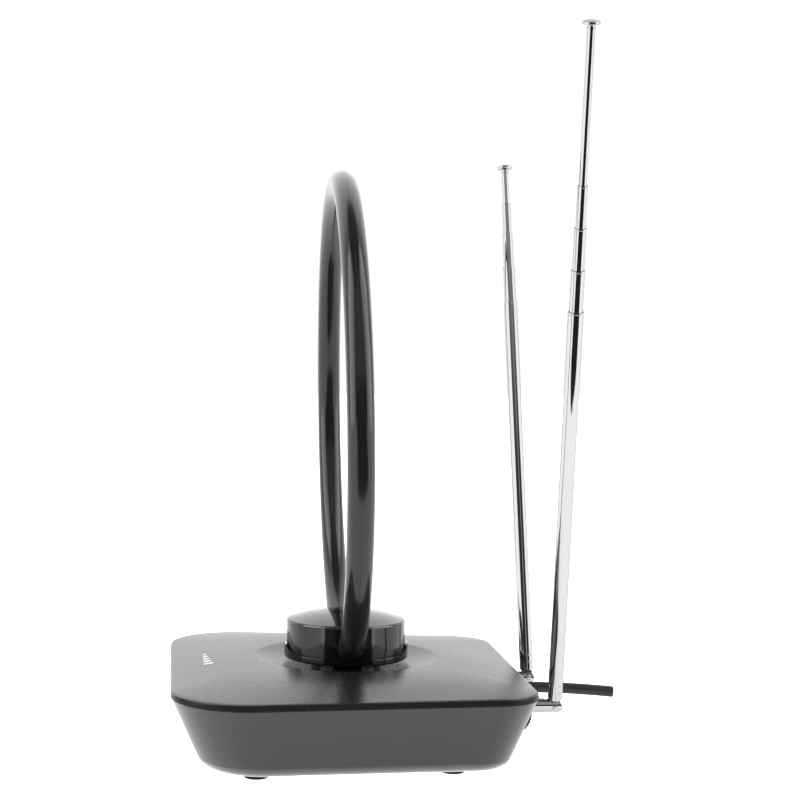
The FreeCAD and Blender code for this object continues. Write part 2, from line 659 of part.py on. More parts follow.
def pivot_pin():
    """Rivet through the fork and the tongue, with a low round head at each side."""
    cheek = KNUCKLE_R
    pin = cylinder(1.2, Vector(-cheek - 0.4, 0, 0), Vector(cheek + 0.4, 0, 0))
    heads = []
    for side in (1, -1):
        cap = Part.makeSphere(2.0, Vector(side * (cheek - 1.35), 0, 0))
        keep = box((cheek + 0.05, -3, -3), (cheek + 2, 3, 3))
        if side < 0:
            keep = keep.mirror(ORIGIN, X_AXIS)
        heads.append(cap.common(keep))
    return fused([pin] + heads)


def rod_tongue():
    """Plug in the rod's foot, with a shoulder under the tube and a flat tongue with an eye for the pin."""
    plug_r = SECTION_RADII[0] - TUBE_WALL - RUNNING
    plug = cylinder(plug_r, Vector(0, 0, BASE_TUBE_START - 0.6), Vector(0, 0, 15))
    half = TONGUE_THICK / 2
    tongue = box((-half, -2.4, 0), (half, 2.4, BASE_TUBE_START + 1))
    eye = cylinder(2.4, Vector(-half, 0, 0), Vector(half, 0, 0))
    return fused([plug, tongue, eye]).cut(cylinder(PIN_BORE_R, Vector(-5, 0, 0), Vector(5, 0, 0)))


def tube_with_lip(radius, start, end):
    """One drawn tube with a rolled bead at its mouth."""
    tube = cylinder(radius, Vector(0, 0, start), Vector(0, 0, end))
    bead = cylinder(radius + LIP_PROUD, Vector(0, 0, end - LIP_HEIGHT), Vector(0, 0, end))
    bead = bead.makeFillet(0.25, [edge for edge in bead.Edges if edge.BoundBox.ZLength < 0.01])
    bore = cylinder(radius - TUBE_WALL, Vector(0, 0, start - 1), Vector(0, 0, end + 1))
    return tube.fuse(bead).cut(bore)


def base_tube():
    """Largest tube, with two rows of crimp marks that hold it on the tongue's plug."""
    tube = tube_with_lip(SECTION_RADII[0], BASE_TUBE_START, BASE_TUBE_END)
    for height in (7.6, 10.8):
        for turn in range(4):
            angle = math.radians(20 + 90 * turn)
            reach = SECTION_RADII[0] + 0.55
            dent = Part.makeSphere(0.78, Vector(reach * math.cos(angle), reach * math.sin(angle), height))
            tube = tube.cut(dent)
    return tube


def tip_button(top):
    """Turned button: a collar, a neck and a mushroom head."""
    collar = cylinder(1.9, Vector(0, 0, top), Vector(0, 0, top + 0.9))
    neck = cylinder(1.3, Vector(0, 0, top + 0.5), Vector(0, 0, top + 2.2))
    head = cylinder(BUTTON_R, Vector(0, 0, top + 1.9), Vector(0, 0, top + 3.3))
    head = head.makeFillet(0.55, [edge for edge in head.Edges if edge.BoundBox.ZLength < 0.01])
    crown = Part.makeSphere(9.0, Vector(0, 0, top + 3.2 - 8.3))
    crown = crown.common(cylinder(3.1, Vector(0, 0, top + 3.0), Vector(0, 0, top + 5)))
    return fused([collar, neck, head, crown])


def rod(side_name, side, lean, exposed):
    """One telescopic rod with its swivel: every piece is drawn upright, then leaned outward."""
    for name, shape in (("swivel_stub", swivel_stub()), ("swivel_clip", swivel_clip())):
        save(side_name + "_" + name, place_rod(shape, side, lean, 0))
    pieces = {"pivot_pin": pivot_pin(), "rod_tongue": rod_tongue(), "tube_1": base_tube()}
    top = BASE_TUBE_END
    for number in range(3):
        top += exposed[number]
        radius = SECTION_RADII[number + 1]
        pieces["tube_%d" % (number + 2)] = tube_with_lip(radius, top - SECTION_LENGTHS[number], top)
    top += exposed[3]
    pieces["tip_rod"] = cylinder(SECTION_RADII[4], Vector(0, 0, top - SECTION_LENGTHS[3]), Vector(0, 0, top))
    pieces["tip_button"] = tip_button(top)
    for name, shape in pieces.items():
        save(side_name + "_" + name, place_rod(shape, side, lean, ROD_TIP_FORWARD))


def build_base():
    save("base_tray", base_tray())
    save("top_cover", top_cover())
    save("ballast_plate", box((-46, -42, FLOOR_Z + FLOOR_THICK), (46, 22, FLOOR_Z + FLOOR_THICK + 3)))
    save("rubber_feet", *rubber_feet())
    save("case_screws", *case_screws())
    save("circuit_board", circuit_board())
    save("board_screws", *board_screws())
    save("shield_can", shield_can())
    save("balun_core", balun_core())
    save("balun_winding", *balun_winding())
    save("gain_wheel", gain_wheel())
    save("gain_potentiometer", gain_potentiometer())
    save("coax_cable", coax_cable())
    save("cable_grommet", cable_grommet())
    save("rod_bushes", *rod_bushes())
    save("solder_lugs", *solder_lugs())
    save("swivel_washers", *swivel_washers())
    save("rod_lead_wires", *rod_lead_wires())
    save("board_lead_wires", *board_lead_wires())
    save("hub_bush", hub_bush())
    save("hub_wave_washer", ring(SPINDLE_R + 0.15, 14.5, Vector(0, 0, 31.95), Vector(0, 0, 32.95)))


def build_hub():
    mouths = loop_tube(LOOP_TUBE_R + RUNNING)
    pieces = {"hub_collar": [hub_collar(mouths)],
              "hub_cap": [hub_cap(mouths)],
              "hub_spindle": [hub_spindle()],
              "hub_clip": [hub_clip()],
              "hub_screws": hub_screws(),
              "loop_front_shell": [loop_shell(-1)],
              "loop_rear_shell": [loop_shell(1)],
              "loop_conductor": [loop_conductor()],
              "loop_lead_wires": loop_lead_wires(),
              "loop_lead_plug": [box((-4.2, -2.2, 19), (4.2, 2.2, 23.95))]}
    for name, solids in pieces.items():
        save(name, *[turn_hub(solid) for solid in solids])


os.makedirs("parts", exist_ok=True)
build_base()
build_hub()
rod("right", 1, RIGHT_LEAN, RIGHT_EXPOSED)
rod("left", -1, LEFT_LEAN, LEFT_EXPOSED)
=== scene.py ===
"""Looks of the rabbit ears antenna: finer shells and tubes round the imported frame, materials, studio."""
import json
import math

import bmesh
import bpy
from mathutils import Matrix, Vector
from mathutils.bvhtree import BVHTree


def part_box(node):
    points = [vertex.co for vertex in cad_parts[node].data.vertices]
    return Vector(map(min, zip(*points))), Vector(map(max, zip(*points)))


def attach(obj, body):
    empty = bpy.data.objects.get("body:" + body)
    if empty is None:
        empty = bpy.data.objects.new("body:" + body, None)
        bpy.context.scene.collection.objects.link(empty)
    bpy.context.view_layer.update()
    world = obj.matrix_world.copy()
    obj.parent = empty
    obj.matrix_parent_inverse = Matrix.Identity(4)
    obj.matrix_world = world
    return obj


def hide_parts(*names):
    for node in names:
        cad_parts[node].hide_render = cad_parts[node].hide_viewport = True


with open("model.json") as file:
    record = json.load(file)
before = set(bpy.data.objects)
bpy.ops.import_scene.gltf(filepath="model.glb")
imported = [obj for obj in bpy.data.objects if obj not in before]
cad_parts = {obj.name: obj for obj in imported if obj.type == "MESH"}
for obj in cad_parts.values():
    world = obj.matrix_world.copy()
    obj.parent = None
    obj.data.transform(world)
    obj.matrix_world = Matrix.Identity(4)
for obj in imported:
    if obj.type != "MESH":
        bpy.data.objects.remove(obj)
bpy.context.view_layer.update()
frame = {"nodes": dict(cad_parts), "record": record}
nodes = frame["nodes"]
MM = 0.001


# ---------------------------------------------------------------- material helpers

COVER_GRAIN = 900              # bumps in a metre
COVER_GRAIN_DEPTH = 0.000040
MATTE_BLOOM = 0.22             # the pale bloom satin plastic shows where it turns away

# Painted reflection: how much of the room a surface gives back, by bearing from the photographer in
# degrees, for what it mirrors above and below the horizon. The chrome's colour is painted darker where it
# mirrors the softboxes; the hub's gloss is painted out over the table.
CHROME_PAINTED_ABOVE = [(0, 0.54), (45, 0.54), (53, 0.42), (70, 0.30), (96, 0.20), (102, 0.80), (118, 0.80),
                (126, 0.50), (180, 0.45)]
CHROME_PAINTED_BELOW = [(0, 0.54), (180, 0.54)]
HUB_PAINTED_ABOVE = [(0, 0.80), (180, 0.80)]
HUB_PAINTED_BELOW = [(0, 0.04), (45, 0.04), (48, 0.80), (56, 0.50), (90, 0.34), (180, 0.36)]

HORIZON_BLEND = 0.04           # how far below the horizon, as a sine, the two sets of tones cross over


def fill_ramp(ramp, tones):
    """Sets a colour ramp's grey stops from pairs of degrees (0 to 180) and level."""
    while len(ramp.elements) < len(tones):
        ramp.elements.new(0.5)
    for stop, (degrees, level) in zip(ramp.elements, tones):
        stop.position = degrees / 180
        stop.color = (level, level, level, 1)


class Shader:
    """A short way to write one node-based material."""

    def __init__(self, name, colour, roughness, metallic=0.0, ior=1.5, coat=0.0):
        self.material = bpy.data.materials.new(name)
        self.material.use_nodes = True
        self.tree = self.material.node_tree
        self.surface = self.tree.nodes["Principled BSDF"]
        self.surface.inputs["Base Color"].default_value = (*colour, 1.0)
        self.surface.inputs["Roughness"].default_value = roughness
        self.surface.inputs["Metallic"].default_value = metallic
        self.surface.inputs["IOR"].default_value = ior
        self.surface.inputs["Coat Weight"].default_value = coat
        self.coords = self.add("ShaderNodeTexCoord").outputs["Object"]

    def add(self, kind, **settings):
        node = self.tree.nodes.new(kind)
        for name, value in settings.items():
            setattr(node, name, value)
        return node

    def link(self, source, target):
        self.tree.links.new(source, target)

    def noise(self, scale, detail=3.0, stretch=(1, 1, 1)):
        """Noise in metres of object space; scale is features per metre."""
        mapping = self.add("ShaderNodeMapping")
        mapping.inputs["Scale"].default_value = stretch
        noise = self.add("ShaderNodeTexNoise")
        noise.inputs["Scale"].default_value = scale
        noise.inputs["Detail"].default_value = detail
        self.link(self.coords, mapping.inputs["Vector"])
        self.link(mapping.outputs["Vector"], noise.inputs["Vector"])
        return noise.outputs["Fac"]

    def ramp(self, factor, low, high, start=0.35, end=0.65):
        """Two values blended by a factor."""
        ramp = self.add("ShaderNodeMapRange")
        ramp.inputs["From Min"].default_value = start
        ramp.inputs["From Max"].default_value = end
        ramp.inputs["To Min"].default_value = low
        ramp.inputs["To Max"].default_value = high
        self.link(factor, ramp.inputs["Value"])
        return ramp.outputs["Result"]

    def tint(self, factor, low, high):
        mix = self.add("ShaderNodeMix", data_type="RGBA")
        mix.inputs["A"].default_value = (*low, 1)
        mix.inputs["B"].default_value = (*high, 1)
        self.link(factor, mix.inputs["Factor"])
        self.link(mix.outputs["Result"], self.surface.inputs["Base Color"])
        return mix

    def bump(self, height, distance, strength=1.0):
        bump = self.add("ShaderNodeBump")
        bump.inputs["Distance"].default_value = distance
        bump.inputs["Strength"].default_value = strength
        self.link(height, bump.inputs["Height"])
        self.link(bump.outputs["Normal"], self.surface.inputs["Normal"])
        return bump


def grained_plastic(name, colour, roughness, grain_scale, grain_depth, ior=1.5):
    """Moulded plastic with a spark-eroded grain and slightly uneven gloss."""
    shader = Shader(name, colour, roughness, ior=ior)
    shader.tint(shader.noise(40, 2), [c * 0.95 for c in colour], [c * 1.05 for c in colour])
    grain = shader.noise(grain_scale, 2)
    shader.link(shader.ramp(grain, roughness - 0.01, roughness + 0.01), shader.surface.inputs["Roughness"])
    shader.bump(grain, grain_depth)
    shader.surface.inputs["Sheen Weight"].default_value = MATTE_BLOOM
    shader.surface.inputs["Sheen Roughness"].default_value = 0.45
    return shader.material


def cover_plastic(name, colour, roughness):
    """The cover's grained plastic. Its upright edge is painted dull, a painted shade: its gloss is turned
    down where the surface faces little upwards.
    """
    shader = Shader(name, colour, roughness, ior=1.56)
    shader.tint(shader.noise(40, 2), [c * 0.95 for c in colour], [c * 1.05 for c in colour])
    grain = shader.noise(COVER_GRAIN, 2)
    shader.link(shader.ramp(grain, roughness - 0.03, roughness + 0.03), shader.surface.inputs["Roughness"])
    shader.bump(grain, COVER_GRAIN_DEPTH)
    # painted shade: gloss lowered on the upright edge band, chosen by how far the surface faces up
    painted_shade_tilt = shader.add("ShaderNodeSeparateXYZ")
    shader.link(shader.add("ShaderNodeNewGeometry").outputs["Normal"], painted_shade_tilt.inputs[0])
    shader.link(shader.ramp(painted_shade_tilt.outputs["Z"], 0.06, 0.5, 0.30, 0.60),
                shader.surface.inputs["Specular IOR Level"])
    return shader.material


def polished_plastic(name, colour, roughness):
    """Gloss plastic: a very faint ripple from the mould, and fine handling haze."""
    shader = Shader(name, colour, roughness, ior=1.52)
    haze = shader.noise(600, 3)
    shader.link(shader.ramp(haze, roughness * 0.9, roughness * 1.15), shader.surface.inputs["Roughness"])
    shader.tint(shader.noise(30, 2), [c * 0.9 for c in colour], [c * 1.15 for c in colour])
    shader.bump(shader.noise(60, 1), 0.00001)
    return shader.material


def plated_metal(name, colour, roughness):
    """Plated or plain metal, a little uneven in gloss and tone from handling."""
    shader = Shader(name, colour, roughness, metallic=1.0)
    haze = shader.noise(250, 4)
    shader.link(shader.ramp(haze, roughness * 0.8, roughness * 1.3), shader.surface.inputs["Roughness"])
    shader.tint(shader.noise(60, 2), [c * 0.96 for c in colour], colour)
    return shader.material


def painted_reflection_tone(shader, above, below):
    """A painted reflection: a grey level that follows what the surface mirrors, with tones for above and
    below the horizon.
    """
    mirrored = shader.add("ShaderNodeSeparateXYZ")
    shader.link(shader.add("ShaderNodeTexCoord").outputs["Reflection"], mirrored.inputs[0])
    around = shader.add("ShaderNodeMath", operation="ARCTAN2")
    shader.link(mirrored.outputs["Y"], around.inputs[0])
    shader.link(mirrored.outputs["X"], around.inputs[1])
    turn = shader.add("ShaderNodeMath", operation="ABSOLUTE")
    shader.link(around.outputs[0], turn.inputs[0])
    share = shader.add("ShaderNodeMath", operation="DIVIDE")
    shader.link(turn.outputs[0], share.inputs[0])
    share.inputs[1].default_value = math.pi
    mix = shader.add("ShaderNodeMix", data_type="RGBA")
    shader.link(shader.ramp(mirrored.outputs["Z"], 0, 1, -HORIZON_BLEND, 0.0), mix.inputs["Factor"])
    for tones, socket in ((below, "A"), (above, "B")):
        ramp = shader.add("ShaderNodeValToRGB")
        fill_ramp(ramp.color_ramp, tones)
        shader.link(share.outputs[0], ramp.inputs[0])
        shader.link(ramp.outputs["Color"], mix.inputs[socket])
    return mix.outputs["Result"]


def chrome_plate(name, roughness):
    """Nickel-chrome on thin tube, a little hazy from handling."""
    shader = Shader(name, (0.6, 0.6, 0.6), roughness, metallic=1.0)
    shader.surface.inputs["Specular Tint"].default_value = (0.55, 0.55, 0.56, 1)
    haze = shader.noise(250, 4)
    shader.link(shader.ramp(haze, roughness * 0.8, roughness * 1.3), shader.surface.inputs["Roughness"])
    # painted reflection: the chrome's colour is set by the bearing of what it mirrors, darker towards the
    # softboxes
    shader.link(painted_reflection_tone(shader, CHROME_PAINTED_ABOVE, CHROME_PAINTED_BELOW), shader.surface.inputs["Base Color"])
    return shader.material


def hub_plastic(name, colour, roughness):
    """Piano-gloss plastic of the hub, with a painted dark reflection: its gloss is turned down where it
    mirrors the table on the photographer's side.
    """
    shader = Shader(name, colour, roughness, ior=1.56)
    haze = shader.noise(600, 3)
    shader.link(shader.ramp(haze, roughness * 0.9, roughness * 1.15), shader.surface.inputs["Roughness"])
    # painted dark reflection: gloss cut where the hub mirrors the table below the horizon towards the
    # photographer
    shader.link(painted_reflection_tone(shader, HUB_PAINTED_ABOVE, HUB_PAINTED_BELOW), shader.surface.inputs["Specular IOR Level"])
    return shader.material


def soft_jacket(name, colour, roughness, gloss=0.5):
    """PVC or rubber skin: waxy, with an uneven finish."""
    shader = Shader(name, colour, roughness, ior=1.48)
    shader.surface.inputs["Specular IOR Level"].default_value = gloss
    cloud = shader.noise(220, 4)
    shader.link(shader.ramp(cloud, roughness - 0.06, roughness + 0.08), shader.surface.inputs["Roughness"])
    shader.tint(cloud, [c * 0.8 for c in colour], [c * 1.25 for c in colour])
    shader.bump(shader.noise(1800, 2), 0.00003)
    return shader.material


materials = {
    "tray_plastic": grained_plastic("tray_plastic", (0.031, 0.031, 0.0314), 0.22, 1600, 0.0000015),
    "cover_plastic": cover_plastic("cover_plastic", (0.014, 0.014, 0.0143), 0.28),
    "hub_gloss": hub_plastic("hub_gloss", (0.008, 0.008, 0.0085), 0.06),
    "loop_plastic": polished_plastic("loop_plastic", (0.009, 0.009, 0.0092), 0.16),
    "chrome_tube": chrome_plate("chrome_tube", 0.05),
    "cable_jacket": soft_jacket("cable_jacket", (0.012, 0.012, 0.0125), 0.45),
    "foot_rubber": soft_jacket("foot_rubber", (0.006, 0.006, 0.006), 0.62, gloss=0.1),
    "plain_steel": plated_metal("plain_steel", (0.55, 0.55, 0.54), 0.28),
    "brass_part": plated_metal("brass_part", (0.78, 0.57, 0.26), 0.22),
    "aluminium_part": plated_metal("aluminium_part", (0.80, 0.80, 0.81), 0.30),
    "board_laminate": soft_jacket("board_laminate", (0.02, 0.16, 0.05), 0.30),
    "ferrite": soft_jacket("ferrite", (0.05, 0.05, 0.055), 0.50),
    "wire_sleeve": soft_jacket("wire_sleeve", (0.42, 0.03, 0.02), 0.35),
    "nylon_white": soft_jacket("nylon_white", (0.70, 0.69, 0.65), 0.40),
    "printed_ink": soft_jacket("printed_ink", (0.85, 0.85, 0.85), 0.50),
    "nylon_black": soft_jacket("nylon_black", (0.018, 0.018, 0.018), 0.40),
}


def dress_frame():
    """Gives every CAD node the material of its slot."""
    slots = {part["node"]: part["material_slot"] for part in frame["record"]["subparts"]}
    for name, node in nodes.items():
        node.data.materials.clear()
        node.data.materials.append(materials[slots[name]])


# ---------------------------------------------------------------- mesh helpers

def make_object(name, mesh, material, body, replaced=()):
    """A finished piece: its mesh, material, the body it rides on and the CAD nodes it stands for."""
    piece = bpy.data.objects.new(name, mesh)
    bpy.context.scene.collection.objects.link(piece)
    mesh.materials.append(material)
    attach(piece, body)
    if replaced:
        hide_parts(*replaced)
    return piece


def skin_rings(name, rings, closed=True):
    """A smooth mesh through rings of points. With closed, the last ring joins the first."""
    mesh = bmesh.new()
    verts = [[mesh.verts.new(point) for point in ring] for ring in rings]
    pairs = list(zip(verts, verts[1:]))
    if closed:
        pairs.append((verts[-1], verts[0]))
    for lower, upper in pairs:
        for index in range(len(lower)):
            after = (index + 1) % len(lower)
            mesh.faces.new((lower[index], lower[after], upper[after], upper[index]))
    if not closed:
        mesh.faces.new(reversed(verts[0]))
        mesh.faces.new(verts[-1])
    bmesh.ops.recalc_face_normals(mesh, faces=mesh.faces)
    for face in mesh.faces:
        face.smooth = len(face.verts) == 4
    data = bpy.data.meshes.new(name)
    mesh.to_mesh(data)
    mesh.free()
    return data


# ---------------------------------------------------------------- cover

COVER_LOW, COVER_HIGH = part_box("top_cover")
FRONT_Y = COVER_LOW.y
REAR_Y = COVER_HIGH.y
MID_HALF_WIDTH = 86.8 * MM
SIDE_TAPER = math.tan(math.radians(6.4))
FRONT_CORNER = 33 * MM
REAR_CORNER = 20 * MM
EDGE_Z = 36.5 * MM
CROWN_RISE = 4.8 * MM
DISH_LIP_R = 41.9 * MM
DISH_FLOOR_R = 16.0 * MM
DISH_FLOOR_Z = 37.5 * MM
DISH_BOWL = 1.6                # 1 is a straight cone, more is a bowl
SIDE_POINTS = 30
CORNER_POINTS = 22
CROWN_RINGS = 36
DISH_RINGS = 24
CROWN_INSET = 1.2 * MM
EDGE_ROUND = 0.25 * MM         # the crown starts this far above the edge
LIP_EASE = 0.07 * MM
# inset from the outline and height in mm, from the underside up round the edge to the crown
RIM_SECTION = [(3.2, 33.75), (0.6, 33.72), (0.2, 33.82), (0.05, 33.98), (0.0, 34.2), (0.45, 36.1),
               (0.52, 36.35), (0.68, 36.52), (0.95, 36.62)]
# radius and height in mm, down through the hole for the bush and out along the underside
HOLE_AND_UNDERSIDE = [(12.4, 37.5), (12.05, 37.3), (12.05, 34.3), (14, 34.2), (43, 34.2), (44, 36.0)]
UNDERSIDE_INSET = 10 * MM
UNDERSIDE_Z = 36.2 * MM


def outline(inset):
    """Points round the cover, drawn in by inset: four straight sides and four round corners."""
    front = FRONT_Y + inset
    rear = REAR_Y - inset
    front_half = MID_HALF_WIDTH - SIDE_TAPER * front - inset
    rear_half = MID_HALF_WIDTH - SIDE_TAPER * rear - inset
    corners = [Vector((front_half, front)), Vector((rear_half, rear)),
               Vector((-rear_half, rear)), Vector((-front_half, front))]
    radii = [max(FRONT_CORNER - 0.45 * inset, 12 * MM), max(REAR_CORNER - 0.3 * inset, 9 * MM)]
    radii = [radii[0], radii[1], radii[1], radii[0]]
    arcs = []
    for index, corner in enumerate(corners):
        before = (corners[index - 1] - corner).normalized()
        after = (corners[(index + 1) % 4] - corner).normalized()
        half_angle = before.angle(after) / 2
        inward = (before + after).normalized()
        centre = corner + inward * radii[index] / math.sin(half_angle)
        start = corner + before * radii[index] / math.tan(half_angle) - centre
        sweep = math.pi - 2 * half_angle
        turns = [Matrix.Rotation(sweep * step / CORNER_POINTS, 2) for step in range(CORNER_POINTS + 1)]
        arcs.append([centre + turn @ start for turn in turns])
    points = []
    for index, arc in enumerate(arcs):
        points += arc
        start, end = arc[-1], arcs[(index + 1) % 4][0]
        points += [start.lerp(end, step / SIDE_POINTS) for step in range(1, SIDE_POINTS)]
    return points


def level_ring(points, z):
    return [(point.x, point.y, z) for point in points]


def circle_ring(bearings, radius, z):
    return [(radius * math.cos(angle), radius * math.sin(angle), z) for angle in bearings]


def crown_ring(edge, bearings, share):
    """A ring between the cover's edge and the dish's lip, rising as it goes in."""
    z = EDGE_Z + EDGE_ROUND + (CROWN_RISE - EDGE_ROUND) * math.sin(share * math.pi / 2)
    ring = []
    for point, angle in zip(edge, bearings):
        lip = Vector((math.cos(angle), math.sin(angle))) * DISH_LIP_R
        place = point.lerp(lip, share)
        ring.append((place.x, place.y, z))
    return ring


def cover_shell():
    """Crowned plate with an eased edge, a round dish for the hub and a real thickness."""
    edge = outline(CROWN_INSET)
    bearings = [math.atan2(point.y, point.x) for point in edge]
    rings = [level_ring(outline(inset * MM), z * MM) for inset, z in RIM_SECTION]
    rings += [crown_ring(edge, bearings, step / CROWN_RINGS) for step in range(CROWN_RINGS)]
    lip_z = EDGE_Z + CROWN_RISE
    rings.append(circle_ring(bearings, DISH_LIP_R + 0.35 * MM, lip_z))
    rings.append(circle_ring(bearings, DISH_LIP_R + 0.02 * MM, lip_z - LIP_EASE))
    for step in reversed(range(DISH_RINGS)):
        share = step / DISH_RINGS
        rings.append(circle_ring(bearings, DISH_FLOOR_R + (DISH_LIP_R - DISH_FLOOR_R) * share,
                                 DISH_FLOOR_Z + (lip_z - DISH_FLOOR_Z) * share ** DISH_BOWL))
    for radius, z in HOLE_AND_UNDERSIDE:
        rings.append(circle_ring(bearings, radius * MM, z * MM))
    rings.append(level_ring(outline(UNDERSIDE_INSET), UNDERSIDE_Z))
    data = skin_rings("cover_shell", rings)
    return make_object("cover_shell", data, materials["cover_plastic"], "base",
                       replaced=["top_cover"])


MARK_Y = -64 * MM
MARK_PITCH = 6.0 * MM
MARK_WIDTH = 3.4 * MM
MARK_LENGTHS = [1.4, 2.1, 2.8, 3.5, 4.4]       # mm
MARK_BASE_Y = MARK_Y - 2.2 * MM
MARK_STEPS = 8
INK_HEIGHT = 0.03 * MM
ABOVE_COVER = 0.1              # metres, where the rays that find the surface start


def printed_mark(cover):
    """Five white bars of rising length, printed near the cover's front edge."""
    surface = BVHTree.FromPolygons([vertex.co for vertex in cover.data.vertices],
                                   [list(face.vertices) for face in cover.data.polygons])
    mesh = bmesh.new()
    for number, length in enumerate(MARK_LENGTHS):
        left = (number - len(MARK_LENGTHS) / 2) * MARK_PITCH + (MARK_PITCH - MARK_WIDTH) / 2
        columns = []
        for x in (left, left + MARK_WIDTH):
            column = []
            for step in range(MARK_STEPS + 1):
                y = MARK_BASE_Y + length * MM * step / MARK_STEPS
                top = surface.ray_cast(Vector((x, y, ABOVE_COVER)), Vector((0, 0, -1)))[0]
                column.append(mesh.verts.new(top + Vector((0, 0, INK_HEIGHT))))
            columns.append(column)
        for step in range(MARK_STEPS):
            mesh.faces.new((columns[0][step], columns[1][step], columns[1][step + 1], columns[0][step + 1]))
    data = bpy.data.meshes.new("printed_mark")
    mesh.to_mesh(data)
    mesh.free()
    make_object("printed_mark", data, materials["printed_ink"], "base")


# ---------------------------------------------------------------- loop

LOOP_RADIUS = 108.0 * MM
LOOP_CENTRE_Z = 152.5 * MM
LOOP_TUBE_R = 5.75 * MM
LOOP_BORE_R = 3.7 * MM
LOOP_END_X = 23.0 * MM
SEAM_WIDTH = 0.04 * MM
SEAM_DEPTH = 0.10 * MM
SEAM_FLOOR = 0.2 * SEAM_WIDTH  # half the width left at the seam's floor
SEAM_SIDE = 0.45 * SEAM_WIDTH  # and a quarter of the way down
SEAM_EASE = 0.012              # radians of the round kept true right beside the seam
LOOP_LEAN = math.radians(0.62)
LOOP_TURN = math.radians(-1.45)
LOOP_SOCKET_Z = 43.2 * MM
LOOP_STEPS = 320
ROUND_STEPS = 24
BORE_STEPS = 10


def half_section(side):
    """Half of the loop tube's section as (outward, across) points, eased where the halves meet."""
    seam = math.asin(SEAM_WIDTH / LOOP_TUBE_R)
    points = [(LOOP_TUBE_R - SEAM_DEPTH, side * SEAM_FLOOR)]
    points.append((LOOP_TUBE_R - SEAM_DEPTH / 4, side * SEAM_SIDE))
    turns = [seam + (math.pi - 2 * seam) * step / ROUND_STEPS for step in range(ROUND_STEPS + 1)]
    turns = [turns[0], turns[0] + SEAM_EASE] + turns[1:-1] + [turns[-1] - SEAM_EASE, turns[-1]]
    for angle in turns:
        points.append((LOOP_TUBE_R * math.cos(angle), side * LOOP_TUBE_R * math.sin(angle)))
    points.append((-LOOP_TUBE_R + SEAM_DEPTH / 4, side * SEAM_SIDE))
    points.append((-LOOP_TUBE_R + SEAM_DEPTH, side * SEAM_FLOOR))
    for step in range(BORE_STEPS + 1):
        angle = math.pi - math.pi * step / BORE_STEPS
        across = side * (LOOP_BORE_R * math.sin(angle) + SEAM_FLOOR)
        points.append((LOOP_BORE_R * math.cos(angle), across))
    return points


def loop_shell(name, side, node):
    """One half of the loop's casing, swept round the loop and leaned and turned as it stands."""
    gap = math.asin(LOOP_END_X / LOOP_RADIUS)
    socket = Vector((0, 0, LOOP_SOCKET_Z))
    placing = (Matrix.Rotation(LOOP_TURN, 4, "Z") @ Matrix.Translation(socket)
               @ Matrix.Rotation(LOOP_LEAN, 4, "X") @ Matrix.Translation(-socket))
    section = half_section(side)
    rings = []
    for step in range(LOOP_STEPS + 1):
        bearing = -math.pi / 2 + gap + (2 * math.pi - 2 * gap) * step / LOOP_STEPS
        ring = []
        for outward, across in section:
            reach = LOOP_RADIUS + outward
            point = Vector((reach * math.cos(bearing), across, LOOP_CENTRE_Z + reach * math.sin(bearing)))
            ring.append(placing @ point)
        rings.append(ring)
    data = skin_rings(name, rings, closed=False)
    return make_object(name, data, materials["loop_plastic"], "hub", [node])


# ---------------------------------------------------------------- studio

FLOOR_SIZE = 8
FLOOR_DROP = 0.2 * MM
CARD_Z = 0.4 * MM
FLOOR_GLOW = 0.60              # as mirrors and the underside see it
FLOOR_WHITE = 1.1              # as the camera sees it
UNDER_GLOW = 1.7               # the lit table right under the tray, seen in the tray's lower rounding
TABLE_EDGE = 0.288
FLOOR_END = FLOOR_SIZE / 2
DARK_FLOOR_Y = 0.09
UNDER_INSET = 11 * MM
DARK_FLOOR_SPREAD = math.tan(math.radians(38))
SOFTBOX_LEVEL = 4.0
# bearing from the photographer in degrees, and brightness as a share of the softboxes'
ROOM_WALLS = [(0, 0.010), (45, 0.012), (53, 0.50), (70, 0.70), (96, 1.0), (102, 0.19), (118, 0.21),
              (126, 0.37), (180, 0.37)]
CEILING_ANGLE = 62.0
CEILING_BLEND = 6.0            # degrees either side of that angle
CEILING_LEVEL = 0.03
HAZE_ANGLES = (10.0, 26.0)     # the dark side pales between these heights
HAZE_LEVEL = 0.11
STATION = Vector((0.8605, -0.0815, 0.1972))   # where the photographer stood, level with the loop
LENS = 83.25
SHIFT = (0.287, -0.1005)


def drive_shift(camera, axis, value):
    """Shifts the lens only at the photographer's place, so other views stay centred."""
    driver = camera.data.driver_add("shift_" + axis).driver
    driver.type = "SCRIPTED"
    for index, letter in enumerate("XYZ"):
        variable = driver.variables.new()
        variable.name = letter.lower()
        variable.type = "TRANSFORMS"
        variable.targets[0].id = camera
        variable.targets[0].transform_type = "LOC_" + letter
    driver.expression = "%f if abs(x-%f)+abs(y-%f)+abs(z-%f) < 0.001 else 0.0" % (value, *STATION)


def make_camera():
    data = bpy.data.cameras.new("camera")
    data.sensor_width = 36
    data.lens = LENS
    data.clip_start = 0.01
    camera = bpy.data.objects.new("camera", data)
    camera.location = STATION
    camera.rotation_euler = (math.pi / 2, 0, math.pi / 2)
    bpy.context.scene.collection.objects.link(camera)
    bpy.context.scene.camera = camera
    drive_shift(camera, "x", SHIFT[0])
    drive_shift(camera, "y", SHIFT[1])


def make_floor():
    """White table, lit from within just enough to melt into the white backdrop."""
    bpy.ops.mesh.primitive_plane_add(size=FLOOR_SIZE, location=(0, 0, -FLOOR_DROP))
    floor = bpy.context.object
    floor.name = "floor"
    shader = Shader("floor_paper", (0.80, 0.80, 0.80), 0.9)
    shader.surface.inputs["Emission Color"].default_value = (1, 1, 1, 1)
    seen = shader.add("ShaderNodeLightPath").outputs["Is Camera Ray"]
    glow = shader.ramp(seen, FLOOR_GLOW, FLOOR_WHITE, 0, 1)
    shader.link(glow, shader.surface.inputs["Emission Strength"])
    floor.data.materials.append(shader.material)


